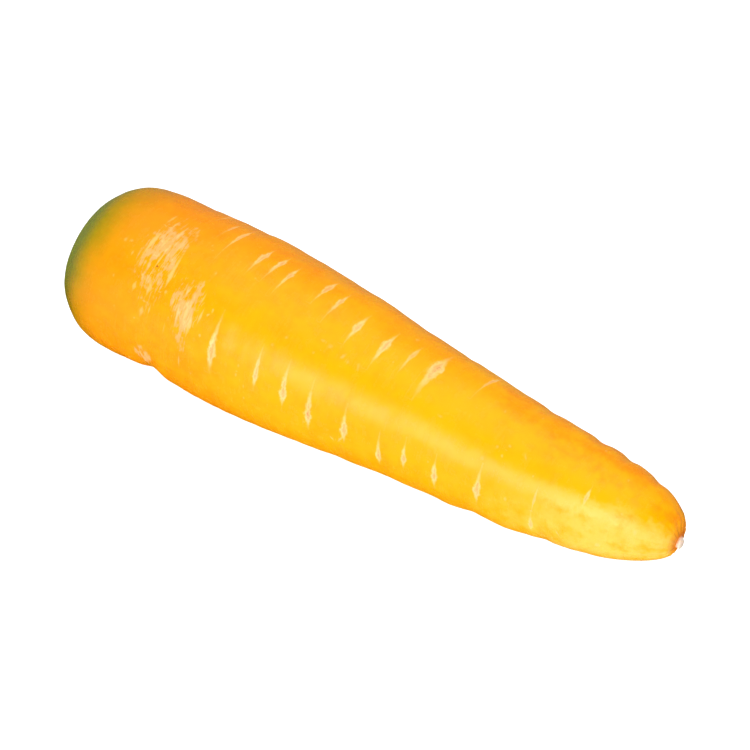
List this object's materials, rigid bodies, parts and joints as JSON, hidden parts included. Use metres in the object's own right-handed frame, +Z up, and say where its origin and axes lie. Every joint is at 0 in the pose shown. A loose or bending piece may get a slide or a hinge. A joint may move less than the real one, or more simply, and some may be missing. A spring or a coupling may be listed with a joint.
{
  "type": "carrot",
  "caption": "Whole carrot root with its leaves trimmed off, lying on its side, for use as fresh produce.",
  "frame": {"origin": "centre of the underside, on the surface that the root lies on", "axes": "+X along the root from its crown to its tip, +Z up"},
  "size_m": [0.1794, 0.0444, 0.047],
  "materials": {
    "carrot_skin": "smooth, moist yellow-orange carrot skin with a satin sheen"
  },
  "bodies": {
    "root": {"carrot_root": "carrot_skin"}
  },
  "joints": []
}
